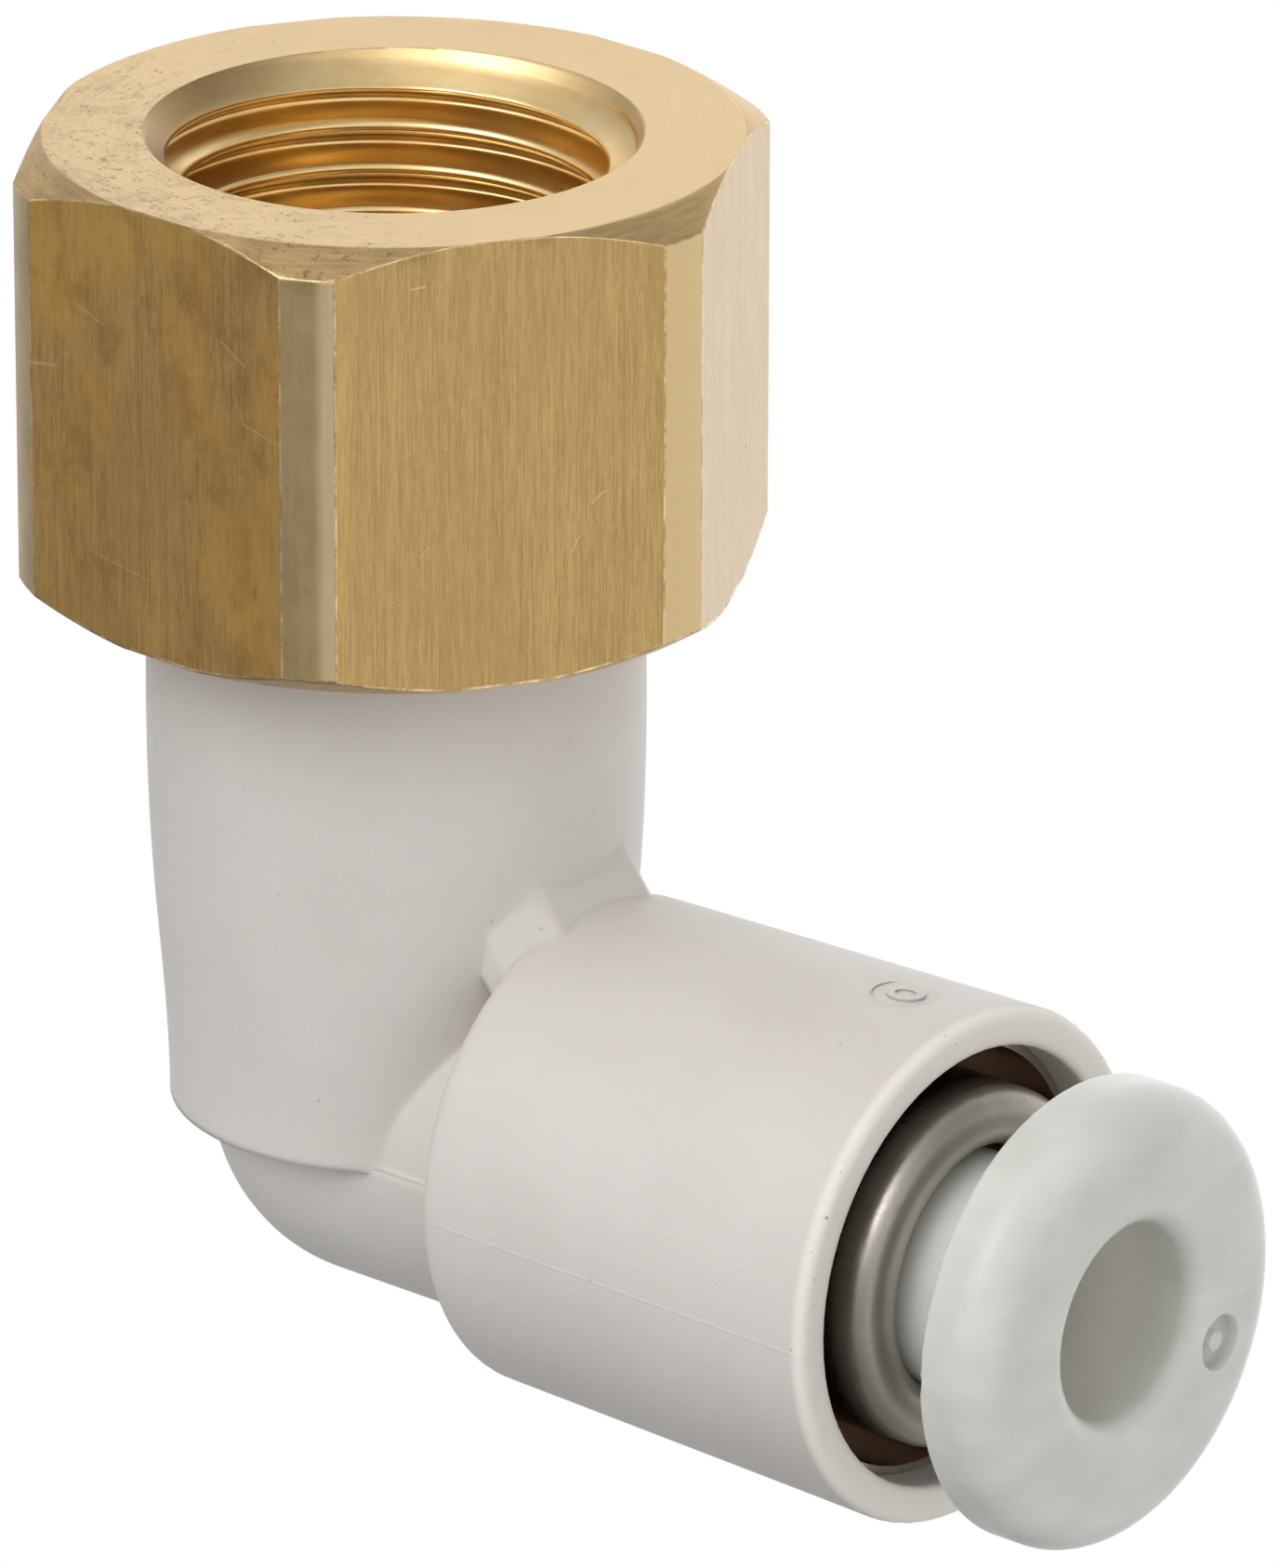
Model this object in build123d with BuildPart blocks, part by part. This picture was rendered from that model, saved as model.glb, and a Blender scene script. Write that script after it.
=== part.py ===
from build123d import *

import os
from math import radians, tan

os.makedirs("parts", exist_ok=True)

# Push to connect elbow: a swivelling brass hexagon with a female pipe thread, on a
# moulded elbow whose arm grips a 4 mm tube and lets go when the button is pressed.
#
# The origin is on the threaded port's axis, where its first full thread starts.
# +Z points out of the threaded port, and +X along the arm, out of the tube port.
# Heights named "_up" are above the arm's axis, and "_x" lengths are from the port's axis.

# ---- Driving dimensions, in millimetres ----
across_flats = 14.0
across_corner_cuts = 15.58
port_face_up = 20.51
hex_height = 9.36
hex_turn = -1.5  # degrees the hexagon stands turned on its swivel

thread_pitch = 25.4 / 28  # Rc 1/8
thread_minor_radius = 4.283
thread_depth = 0.581
thread_turns = 7
countersink_depth = 0.70  # port face to the first full thread

tube_diameter = 4.0
arm_start_x = 4.98
mouth_x = 15.14
arm_back_radius = 5.15
arm_mouth_radius = 5.36
tube_stop_x = 5.6
insertion_x = 19.28  # front face of the button at rest
button_gap = 2.50  # mouth of the arm to the back of the button's flange
button_play = 0.10  # all round, in the guide
button_sag = 0.09  # how far the button hangs down in its play

running_gap = 0.08

# ---- Levels and radii worked out from them ----
port_face_z = countersink_depth
arm_z = port_face_z - port_face_up
hex_up = port_face_up - hex_height
tube_bore_radius = tube_diameter / 2 + 0.06
waterway_radius = 1.25

socket_top_up = hex_up - 0.3
neck_centre_up = -0.13  # the neck and knee are centred a little below the arm's axis
socket_lip_up = neck_centre_up - 0.1
socket_floor_up = 3.1
socket_bore_radius = 3.58

stem_radius = socket_bore_radius - running_gap
stem_end_up = socket_floor_up + 0.3
stem_bore_radius = 1.7
barb_radius = 3.97
barb_shoulder_up = 9.1
barb_groove_radius = barb_radius + running_gap
ring_groove_radius = 2.6
ring_groove_up = 5.05
ring_groove_width = 1.2

cartridge_radius = 3.93
mouth_radius = 4.56
mouth_depth_x = mouth_x - 4.1
seal_x = 7.4
collet_x = 8.8
chuck_x = 10.35
chuck_thickness = 0.25
guide_x = chuck_x + chuck_thickness

sheet_thickness = 0.3
guide_inner_radius = 2.54
roll_radius = 0.6
guide_roll_x = 14.98

flange_x = mouth_x + button_gap
flange_radius = 4.78
sleeve_radius = guide_inner_radius - button_play
sleeve_tip_x = 11.4

through = 40.0  # longer than the fitting, for cuts that pass right through

arm_axis = Axis((0, 0, arm_z), (1, 0, 0))


def up(height):
    """A height above the arm's axis, as a Z."""
    return arm_z + height


def arm_profile(*points):
    """Points given as (x, radius) about the arm's axis, as points on the XZ plane."""
    return [(x, up(radius)) for x, radius in points]


def corners(x, radius):
    """The corners of the sketch being built that lie at this x and radius."""
    return [v for v in vertices() if abs(v.X - x) < 0.01 and abs(v.Y - up(radius)) < 0.01]


def cut_slots(count, width, radius, start_x, end_x):
    """Radial slots out to a radius about the arm's axis, cut from the part being built."""
    with BuildSketch(Plane.YZ.offset(start_x)) as slots:
        with Locations((0, arm_z)):
            with PolarLocations(radius / 2, count):
                Rectangle(radius, width)
    extrude(slots.sketch, amount=end_x - start_x, mode=Mode.SUBTRACT)


# ---- Hex adapter: turned from hexagonal brass bar, one piece with its stem ----
corner_cut_drop = 0.47  # the end chamfers' height at the cut corners
chamfer_radius = across_flats / 2 + 0.06  # of both end faces
corner_radius = across_corner_cuts / 2
chamfer_slope = corner_cut_drop / (corner_radius - chamfer_radius)
blank_radius = corner_radius + 0.6
blank_drop = chamfer_slope * (blank_radius - chamfer_radius)
hex_z = up(hex_up)

with BuildPart() as hex_adapter:
    with BuildSketch(Plane.XY.offset(hex_z)):
        RegularPolygon(across_flats / 2, 6, major_radius=False, rotation=hex_turn)
        RegularPolygon(
            corner_radius, 6, major_radius=False, rotation=hex_turn + 30, mode=Mode.INTERSECT
        )
    extrude(amount=hex_height)
    # Both ends turned to a shallow cone, which rounds off the corners
    with BuildSketch(Plane.XZ):
        with BuildLine():
            Polyline(
                (0, hex_z),
                (chamfer_radius, hex_z),
                (blank_radius, hex_z + blank_drop),
                (blank_radius, port_face_z - blank_drop),
                (chamfer_radius, port_face_z),
                (0, port_face_z),
                close=True,
            )
        make_face()
    revolve(axis=Axis.Z, mode=Mode.INTERSECT)

    # The stem that the elbow turns on, with its ring groove and its barb
    ring_groove_z = up(ring_groove_up)
    with BuildSketch(Plane.XZ):
        with BuildLine():
            Polyline(
                (0, up(stem_end_up)),
                (stem_radius - 0.3, up(stem_end_up)),
                (stem_radius, up(stem_end_up) + 0.3),
                (stem_radius, ring_groove_z),
                (ring_groove_radius, ring_groove_z),
                (ring_groove_radius, ring_groove_z + ring_groove_width),
                (stem_radius, ring_groove_z + ring_groove_width),
                (stem_radius, up(barb_shoulder_up) - 1.2),
                (barb_radius, up(barb_shoulder_up) - 0.4),
                (barb_radius, up(barb_shoulder_up)),
                (stem_radius, up(barb_shoulder_up)),
                (stem_radius, hex_z + 0.5),
                (0, hex_z + 0.5),
                close=True,
            )
        make_face()
    revolve(axis=Axis.Z)

    # The port: lip and countersink, ring-shaped V grooves for the thread, and the waterway
    thread_flank = tan(radians(27.5))
    crest_land = 0.147
    groove_width = thread_pitch - crest_land
    groove_inset = thread_depth * thread_flank
    thread_major_radius = thread_minor_radius + thread_depth
    lip_radius = thread_minor_radius + 0.65
    lip_drop = 0.14
    mouth_countersink_radius = 5.04
    thread_end_z = -(thread_turns * thread_pitch + crest_land) - 0.5
    drill_drop = (thread_minor_radius - stem_bore_radius) / tan(radians(59))
    outline = [
        (0, port_face_z + 1),
        (mouth_countersink_radius, port_face_z + 1),
        (mouth_countersink_radius, port_face_z),
        (lip_radius, port_face_z - lip_drop),
        (thread_minor_radius, 0),
    ]
    for turn in range(thread_turns):
        groove_z = -crest_land - turn * thread_pitch
        outline += [
            (thread_minor_radius, groove_z),
            (thread_major_radius, groove_z - groove_inset),
            (thread_major_radius, groove_z - groove_width + groove_inset),
            (thread_minor_radius, groove_z - groove_width),
        ]
    outline += [
        (thread_minor_radius, thread_end_z),
        (stem_bore_radius, thread_end_z - drill_drop),
        (stem_bore_radius, up(stem_end_up) - 1),
        (0, up(stem_end_up) - 1),
    ]
    with BuildSketch(Plane.XZ):
        with BuildLine():
            Polyline(*outline, close=True)
        make_face()
    revolve(axis=Axis.Z, mode=Mode.SUBTRACT)

# ---- O-ring on the stem ----
ring_section_radius = 0.48
with BuildPart() as stem_o_ring:
    with BuildSketch(Plane.XZ):
        with Locations(
            (ring_groove_radius + ring_section_radius + 0.01, ring_groove_z + ring_groove_width / 2)
        ):
            Circle(ring_section_radius)
    revolve(axis=Axis.Z)

# ---- Elbow body: one moulding, split by its mould at the height of the arm's axis ----
neck_radius = 3.76
knee_radius = 3.87
knee_depth = 4.12

with BuildPart() as elbow_body:
    # Upright socket, with a slight belly that draws in to a sharp lower lip
    with BuildSketch(Plane.XZ):
        with BuildLine():
            lip = Line((0, up(socket_lip_up)), (4.69, up(socket_lip_up)))
            wall = Spline(
                lip @ 1,
                (4.76, up(1.7)),
                (4.98, up(4.6)),
                (5.09, up(7.5)),
                (5.03, up(socket_top_up)),
            )
            Polyline(wall @ 1, (0, up(socket_top_up)), lip @ 0)
        make_face()
    revolve(axis=Axis.Z)
    fillet(elbow_body.edges().group_by(Axis.Z)[-1], radius=0.25)

    # Rounded knee under the lip
    with BuildSketch(Plane.XZ):
        with BuildLine():
            knee_centre = (0, up(neck_centre_up))
            knee = EllipticalCenterArc(knee_centre, knee_radius, knee_depth, -90, arc_size=90)
            Polyline(knee @ 1, knee_centre, knee @ 0)
        make_face()
    revolve(axis=Axis.Z)

    # Neck: round above the parting plane, a little deeper below it
    with BuildSketch(Plane.YZ):
        with Locations((0, up(neck_centre_up))):
            Ellipse(knee_radius, knee_depth)
            Rectangle(through, through, align=(Align.CENTER, Align.MAX), mode=Mode.INTERSECT)
            Circle(neck_radius)
    extrude(amount=arm_start_x + 0.5)

    # Arm, opening slightly towards its mouth
    with BuildSketch(Plane.XZ):
        with BuildLine():
            Polyline(
                *arm_profile(
                    (arm_start_x, 0),
                    (arm_start_x, arm_back_radius),
                    (mouth_x, arm_mouth_radius),
                    (mouth_x, 0),
                ),
                close=True,
            )
        make_face()
        fillet(corners(arm_start_x, arm_back_radius), radius=0.4)
        fillet(corners(mouth_x, arm_mouth_radius), radius=0.26)
    revolve(axis=arm_axis)

    # Web in the corner between socket and arm: two soft ridges with a dished valley
    ridge = (1.35, 7.61)
    shoulder = (2.35, 6.65)
    web_foot = (2.42, 6.03)
    valley_floor = 7.50
    web_start = -2.2
    web_length = 3.1
    web_plane = Plane(origin=(0, 0, up(neck_centre_up)), x_dir=(0, 1, 0), z_dir=(0.618, 0, -0.786))
    with BuildSketch(web_plane.offset(web_start)):
        with BuildLine():
            valley = ThreePointArc((-ridge[0], ridge[1]), (0, valley_floor), ridge)
            right_side = Polyline(valley @ 1, shoulder, web_foot)
            left_side = Polyline(valley @ 0, (-shoulder[0], shoulder[1]), (-web_foot[0], web_foot[1]))
            Line(right_side @ 1, left_side @ 1)
        make_face()
        fillet([v for v in vertices() if v.Y > shoulder[1] - 0.01], radius=0.3)
    extrude(amount=web_length)

    # Stepped bore for the stem, with the groove that its barb snaps into
    with BuildSketch(Plane.XZ):
        with BuildLine():
            Polyline(
                (0, up(socket_top_up + 1)),
                (socket_bore_radius + 0.3, up(socket_top_up + 1)),
                (socket_bore_radius + 0.3, up(socket_top_up)),
                (socket_bore_radius, up(socket_top_up - 0.3)),
                (socket_bore_radius, up(barb_shoulder_up + running_gap)),
                (barb_groove_radius, up(barb_shoulder_up + running_gap)),
                (barb_groove_radius, up(barb_shoulder_up - 1.4)),
                (socket_bore_radius, up(barb_shoulder_up - 1.4)),
                (socket_bore_radius, up(socket_floor_up)),
                (waterway_radius, up(socket_floor_up)),
                (waterway_radius, arm_z),
                (0, arm_z),
                close=True,
            )
        make_face()
    revolve(axis=Axis.Z, mode=Mode.SUBTRACT)

    # Stepped bore of the arm: waterway, tube seat, cartridge bore and open mouth
    with BuildSketch(Plane.XZ):
        with BuildLine():
            Polyline(
                *arm_profile(
                    (-waterway_radius, 0),
                    (-waterway_radius, waterway_radius),
                    (tube_stop_x, waterway_radius),
                    (tube_stop_x, tube_bore_radius),
                    (seal_x, tube_bore_radius),
                    (seal_x, cartridge_radius),
                    (mouth_depth_x, cartridge_radius),
                    (mouth_depth_x, mouth_radius),
                    (mouth_x + 1, mouth_radius),
                    (mouth_x + 1, 0),
                ),
                close=True,
            )
        make_face()
    revolve(axis=arm_axis, mode=Mode.SUBTRACT)

    # Rounded inner edge of the mouth
    fillet(
        elbow_body.edges().filter_by(
            lambda edge: edge.geom_type == GeomType.CIRCLE
            and abs(edge.radius - mouth_radius) < 0.01
            and abs(edge.center().X - mouth_x) < 0.01
        ),
        radius=0.1,
    )

    # Mould cavity mark on top of the arm: a sunk disc with a raised ring in it
    mark_x = 13.2
    mark_y = 0.25
    mark_floor_up = 5.26
    with BuildSketch(Plane.XY.offset(up(mark_floor_up))):
        with Locations((mark_x, mark_y)):
            Circle(0.7)
            Ellipse(0.42, 0.36, mode=Mode.SUBTRACT)
            Ellipse(0.24, 0.18)
    extrude(amount=0.5, mode=Mode.SUBTRACT)

# ---- Tube seal: rubber cup whose lips face the pressure ----
with BuildPart() as tube_seal:
    with BuildSketch(Plane.XZ):
        with BuildLine():
            Polyline(
                *arm_profile(
                    (seal_x + 0.1, 3.55),
                    (seal_x + 0.3, 3.9),
                    (collet_x - 0.05, 3.9),
                    (collet_x - 0.05, 2.2),
                    (seal_x + 0.65, 1.93),
                    (seal_x + 0.1, 2.12),
                    (seal_x + 0.25, 2.5),
                    (seal_x + 0.75, 2.8),
                    (seal_x + 0.25, 3.2),
                ),
                close=True,
            )
        make_face()
    revolve(axis=arm_axis)

# ---- Collet: plastic ring behind the claws, coned so that they can spring back ----
collet_radius = cartridge_radius - 0.03
cone_radius = 3.3
cone_start_x = collet_x + 0.35
with BuildPart() as collet:
    with BuildSketch(Plane.XZ):
        with BuildLine():
            Polyline(
                *arm_profile(
                    (collet_x, tube_bore_radius),
                    (collet_x, collet_radius),
                    (chuck_x, collet_radius),
                    (chuck_x, cone_radius),
                    (cone_start_x + 0.7, cone_radius),
                    (cone_start_x, tube_bore_radius),
                ),
                close=True,
            )
        make_face()
        fillet(corners(collet_x, collet_radius), radius=0.15)
    revolve(axis=arm_axis)
    cut_slots(4, 0.6, collet_radius + 1, chuck_x - 0.45, chuck_x + 1)

# ---- Chuck: sprung sheet ring with eight claws that bite the tube ----
claw_count = 8
claw_root_radius = 3.2
claw_tip_radius = 1.95
claw_tip_x = chuck_x - 0.6
with BuildPart() as chuck:
    with BuildSketch(Plane.XZ):
        with BuildLine():
            Polyline(
                *arm_profile(
                    (chuck_x, cartridge_radius - 0.05),
                    (guide_x, cartridge_radius - 0.05),
                    (guide_x, claw_root_radius),
                    (claw_tip_x + 0.16, claw_tip_radius),
                    (claw_tip_x, claw_tip_radius),
                    (chuck_x, claw_root_radius - 0.1),
                ),
                close=True,
            )
        make_face()
    revolve(axis=arm_axis)
    cut_slots(claw_count, 0.42, claw_root_radius - 0.1, claw_tip_x - 1, guide_x + 1)

# ---- Guide: sheet tube pressed into the arm, its lip rolled back round the button ----
collar_front_x = 14.2
collar_radius = mouth_radius - 0.02
collar_thickness = 0.16
roll_centre_radius = guide_inner_radius + roll_radius
bend_radius = roll_radius - sheet_thickness
guide_tail_x = 13.4
guide_outer_radius = guide_inner_radius + 2 * roll_radius
with BuildPart() as guide:
    with BuildSketch(Plane.XZ):
        with BuildLine():
            roll_centre = (guide_roll_x, up(roll_centre_radius))
            outside = CenterArc(roll_centre, roll_radius, start_angle=90, arc_size=-180)
            inside = CenterArc(roll_centre, bend_radius, start_angle=-90, arc_size=180)
            tail = arm_profile(
                (guide_tail_x, guide_inner_radius),
                (guide_tail_x, guide_inner_radius + sheet_thickness),
            )
            body = arm_profile(
                (guide_x, guide_outer_radius - sheet_thickness),
                (guide_x, guide_outer_radius),
            )
            Polyline(outside @ 1, *tail, inside @ 0)
            Polyline(inside @ 1, *body, outside @ 0)
        make_face()
    revolve(axis=arm_axis)
    # Collar that lines the mouth and seats on the step at its foot
    with BuildSketch(Plane.XZ):
        with BuildLine():
            Polyline(
                *arm_profile(
                    (mouth_depth_x, guide_outer_radius - sheet_thickness / 2),
                    (mouth_depth_x, collar_radius),
                    (collar_front_x, collar_radius),
                    (collar_front_x, collar_radius - collar_thickness),
                    (mouth_depth_x + collar_thickness, collar_radius - collar_thickness),
                    (mouth_depth_x + collar_thickness, guide_outer_radius - sheet_thickness / 2),
                ),
                close=True,
            )
        make_face()
    revolve(axis=arm_axis)

# ---- Release button: flange to press, and a slit sleeve that opens the claws ----
button_barb_radius = sleeve_radius + 0.33
button_barb_x = guide_tail_x - 0.1
dimple_radius = 0.58
dimple_depth = 0.34
nib_radius = 0.2
nib_height = 0.2
dimple_circle_radius = 3.11
dimple_angle = -25.0
with BuildPart() as centred_button:
    with BuildSketch(Plane.XZ):
        with BuildLine():
            Polyline(
                *arm_profile(
                    (sleeve_tip_x, tube_bore_radius),
                    (sleeve_tip_x, tube_bore_radius + 0.28),
                    (sleeve_tip_x + 0.5, sleeve_radius),
                    (button_barb_x - 0.6, sleeve_radius),
                    (button_barb_x - 0.2, button_barb_radius),
                    (button_barb_x, button_barb_radius),
                    (button_barb_x, sleeve_radius),
                    (flange_x, sleeve_radius),
                    (flange_x, flange_radius),
                    (insertion_x, flange_radius),
                    (insertion_x, tube_bore_radius),
                ),
                close=True,
            )
        make_face()
        fillet(corners(flange_x, sleeve_radius), radius=0.2)
        fillet(corners(flange_x, flange_radius), radius=0.15)
        fillet(corners(insertion_x, flange_radius), radius=0.85)
        fillet(corners(insertion_x, tube_bore_radius), radius=0.45)
    revolve(axis=arm_axis)
    cut_slots(4, 0.4, sleeve_radius + 1, sleeve_tip_x - 1, guide_tail_x + 0.7)
    # Dimple on the face, left by the mould's ejector, with its nib
    with BuildSketch(Plane.YZ.offset(insertion_x)) as dimple:
        with Locations((0, arm_z)):
            with PolarLocations(dimple_circle_radius, 1, start_angle=dimple_angle):
                Circle(dimple_radius)
    extrude(dimple.sketch, amount=-dimple_depth, mode=Mode.SUBTRACT)
    fillet(
        centred_button.edges().filter_by(
            lambda edge: edge.geom_type == GeomType.CIRCLE
            and abs(edge.radius - dimple_radius) < 0.01
        ),
        radius=0.06,
    )
    with BuildSketch(Plane.YZ.offset(insertion_x - dimple_depth)) as nib:
        with Locations((0, arm_z)):
            with PolarLocations(dimple_circle_radius, 1, start_angle=dimple_angle):
                Circle(nib_radius)
    extrude(nib.sketch, amount=nib_height)

# The button hangs in the guide's play
with BuildPart() as release_button:
    with Locations((0, 0, -button_sag)):
        add(centred_button.part)

# ---- Write the pieces ----
hex_adapter.part.label = "hex_adapter"
stem_o_ring.part.label = "stem_o_ring"
elbow_body.part.label = "elbow_body"
tube_seal.part.label = "tube_seal"
collet.part.label = "collet"
chuck.part.label = "chuck"
guide.part.label = "guide"
release_button.part.label = "release_button"

export_step(hex_adapter.part, "parts/hex_adapter.step")
export_step(stem_o_ring.part, "parts/stem_o_ring.step")
export_step(elbow_body.part, "parts/elbow_body.step")
export_step(tube_seal.part, "parts/tube_seal.step")
export_step(collet.part, "parts/collet.step")
export_step(chuck.part, "parts/chuck.step")
export_step(guide.part, "parts/guide.step")
export_step(release_button.part, "parts/release_button.step")
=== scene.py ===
import math

import bmesh
import bpy
import numpy as np
from mathutils import Matrix, Vector, noise


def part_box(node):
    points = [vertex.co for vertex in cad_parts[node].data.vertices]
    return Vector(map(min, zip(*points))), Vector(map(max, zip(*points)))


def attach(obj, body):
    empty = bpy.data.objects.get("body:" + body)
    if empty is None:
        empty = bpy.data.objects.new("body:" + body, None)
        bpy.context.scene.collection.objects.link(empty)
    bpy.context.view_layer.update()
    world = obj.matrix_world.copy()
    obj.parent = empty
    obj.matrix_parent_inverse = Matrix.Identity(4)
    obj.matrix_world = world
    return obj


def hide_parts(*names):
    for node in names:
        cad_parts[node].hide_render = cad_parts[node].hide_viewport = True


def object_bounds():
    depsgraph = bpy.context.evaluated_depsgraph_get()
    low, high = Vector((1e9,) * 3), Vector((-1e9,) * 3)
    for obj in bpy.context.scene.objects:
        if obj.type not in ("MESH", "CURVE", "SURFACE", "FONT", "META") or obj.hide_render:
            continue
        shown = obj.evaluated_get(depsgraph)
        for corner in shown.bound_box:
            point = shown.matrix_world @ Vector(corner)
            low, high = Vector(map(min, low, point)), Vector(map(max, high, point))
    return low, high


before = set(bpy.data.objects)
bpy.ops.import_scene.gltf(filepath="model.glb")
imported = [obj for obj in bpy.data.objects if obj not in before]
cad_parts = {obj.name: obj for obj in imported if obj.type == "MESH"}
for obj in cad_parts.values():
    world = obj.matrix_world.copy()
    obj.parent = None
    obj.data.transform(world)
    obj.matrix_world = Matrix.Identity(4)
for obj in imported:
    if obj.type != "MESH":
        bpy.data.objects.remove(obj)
cad_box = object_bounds()

MM = 0.001  # metres in a millimetre
UP = Vector((0, 0, 1))

# The fitting's main places, in millimetres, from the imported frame
guide_low, guide_high = (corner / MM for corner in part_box("guide"))
button_low, button_high = (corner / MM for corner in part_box("release_button"))
port_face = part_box("hex_adapter")[1].z / MM
arm_mouth_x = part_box("elbow_body")[1].x / MM
arm_axis_z = (guide_low.z + guide_high.z) / 2
button_axis_z = (button_low.z + button_high.z) / 2


# ---------------------------------------------------------------- shading helpers
def put(tree, socket, value):
    """Links an output to the socket, or sets the socket to a plain value."""
    if isinstance(value, bpy.types.NodeSocket):
        tree.links.new(value, socket)
    else:
        socket.default_value = value


def math_node(tree, operation, a, b=0.0):
    node = tree.nodes.new("ShaderNodeMath")
    node.operation = operation
    put(tree, node.inputs[0], a)
    put(tree, node.inputs[1], b)
    return node.outputs[0]


class Shade:
    """A principled material whose node tree is written as short calls."""

    def __init__(self, name, **sockets):
        self.material = bpy.data.materials.new(name)
        self.material.use_nodes = True
        self.tree = self.material.node_tree
        self.bsdf = self.tree.nodes["Principled BSDF"]
        for socket, value in sockets.items():
            self.bsdf.inputs[socket.replace("_", " ")].default_value = value
        self.place = self.add("ShaderNodeTexCoord").outputs["Object"]
        self.mm = self.vector("MULTIPLY", self.place, (1 / MM,) * 3)

    def add(self, kind, **settings):
        node = self.tree.nodes.new(kind)
        for name, value in settings.items():
            setattr(node, name, value)
        return node

    def put(self, socket, value):
        put(self.tree, socket, value)

    def vector(self, operation, a, b):
        node = self.add("ShaderNodeVectorMath", operation=operation)
        self.put(node.inputs[0], a)
        self.put(node.inputs[1], b)
        return node.outputs["Value" if operation in ("DOT_PRODUCT", "LENGTH") else "Vector"]

    def length(self, x, y, z):
        """Length of the vector with the given parts."""
        return self.vector("LENGTH", self.join(x, y, z), (0, 0, 0))

    def math(self, operation, a, b=0.0):
        return math_node(self.tree, operation, a, b)

    def plus(self, a, b):
        return self.math("ADD", a, b)

    def minus(self, a, b):
        return self.math("SUBTRACT", a, b)

    def times(self, *factors):
        product = factors[0]
        for factor in factors[1:]:
            product = self.math("MULTIPLY", product, factor)
        return product

    def most(self, *masks):
        """The largest of several masks."""
        largest = masks[0]
        for mask in masks[1:]:
            largest = self.math("MAXIMUM", largest, mask)
        return largest

    def split(self, vector):
        node = self.add("ShaderNodeSeparateXYZ")
        self.put(node.inputs[0], vector)
        return node.outputs

    def join(self, x, y, z):
        node = self.add("ShaderNodeCombineXYZ")
        for socket, value in zip(node.inputs, (x, y, z)):
            self.put(socket, value)
        return node.outputs[0]

    def noise(self, scale, detail=2.0, rough=0.5, at=None, stretch=(1, 1, 1), shift=0.0):
        """Noise from 0 to 1. Scale is in cycles per millimetre."""
        where = self.mm if at is None else at
        where = self.vector("MULTIPLY", where, stretch)
        if shift:
            where = self.vector("ADD", where, (shift, shift * 0.7, shift * 1.3))
        node = self.add("ShaderNodeTexNoise")
        self.put(node.inputs["Vector"], where)
        self.put(node.inputs["Scale"], scale)
        self.put(node.inputs["Detail"], detail)
        self.put(node.inputs["Roughness"], rough)
        return node.outputs[0]

    def from_cell(self, scale):
        """Distance to the nearest of many scattered points, in cells of 1 / scale millimetres."""
        node = self.add("ShaderNodeTexVoronoi")
        self.put(node.inputs["Vector"], self.mm)
        self.put(node.inputs["Scale"], scale)
        return node.outputs["Distance"]

    def ramp(self, value, low, high, out_low=0.0, out_high=1.0):
        """Maps low..high smoothly to out_low..out_high, held at the ends."""
        node = self.add("ShaderNodeMapRange", interpolation_type="SMOOTHSTEP")
        for name, number in (
            ("Value", value),
            ("From Min", low),
            ("From Max", high),
            ("To Min", out_low),
            ("To Max", out_high),
        ):
            self.put(node.inputs[name], number)
        return node.outputs[0]

    def blend(self, share, a, b):
        """Colour a, going to colour b as share goes to 1."""
        node = self.add("ShaderNodeMix", data_type="RGBA")
        self.put(node.inputs[0], share)
        self.put(node.inputs[6], a)
        self.put(node.inputs[7], b)
        return node.outputs[2]

    def scratch(self, start, end, width):
        """1 on a straight mark between two places in millimetres, fading out at its width."""
        start, end = Vector(start), Vector(end)
        run = end - start
        offset = self.vector("SUBTRACT", self.mm, start)
        along = self.vector("DOT_PRODUCT", offset, run / run.length_squared)
        share = self.math("MINIMUM", self.math("MAXIMUM", along, 0.0), 1.0)
        nearest = self.add("ShaderNodeVectorMath", operation="SCALE")
        nearest.inputs[0].default_value = run
        self.put(nearest.inputs["Scale"], share)
        away = self.vector("SUBTRACT", offset, nearest.outputs["Vector"])
        distance = self.vector("LENGTH", away, (0, 0, 0))
        return self.ramp(distance, width / 2, width, 1.0, 0.0)

    def colour(self, value):
        self.put(self.bsdf.inputs["Base Color"], value)

    def roughness(self, value):
        self.put(self.bsdf.inputs["Roughness"], value)

    def bump(self, height, depth, after=None):
        """Raises the surface by height times depth millimetres."""
        node = self.add("ShaderNodeBump")
        node.inputs["Strength"].default_value = 1.0
        node.inputs["Distance"].default_value = depth * MM
        self.put(node.inputs["Height"], height)
        if after is not None:
            self.put(node.inputs["Normal"], after)
        self.put(self.bsdf.inputs["Normal"], node.outputs[0])
        return node.outputs[0]


# ---------------------------------------------------------------- materials
flat_scratches = (  # (start, end, width) of bright marks on the flats, in millimetres
    ((1.63, -7.05, -1.47), (2.28, -7.06, -1.84), 0.022),
    ((2.21, -7.06, -3.06), (3.18, -7.09, -3.28), 0.02),
    ((1.94, -7.05, -2.42), (2.24, -7.06, -3.03), 0.016),
    ((-3.60, -6.91, -3.19), (-2.86, -6.93, -3.08), 0.035),
    ((-2.34, -6.94, -1.62), (-1.58, -6.96, -1.91), 0.02),
    ((-2.00, -6.95, -6.79), (-0.37, -6.99, -7.03), 0.014),
    ((5.00, -5.24, -0.11), (5.16, -4.98, -0.08), 0.02),
    ((6.96, -2.05, -4.99), (7.09, -1.83, -4.76), 0.02),
    ((6.72, -2.42, -6.01), (6.82, -2.26, -5.64), 0.016),
    ((5.10, -5.08, -5.73), (5.18, -4.95, -5.55), 0.014),
)
flat_speck = ((5.62, 4.32, -5.90), (5.63, 4.30, -5.93), 0.06)  # a dark one, given the same way
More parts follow.
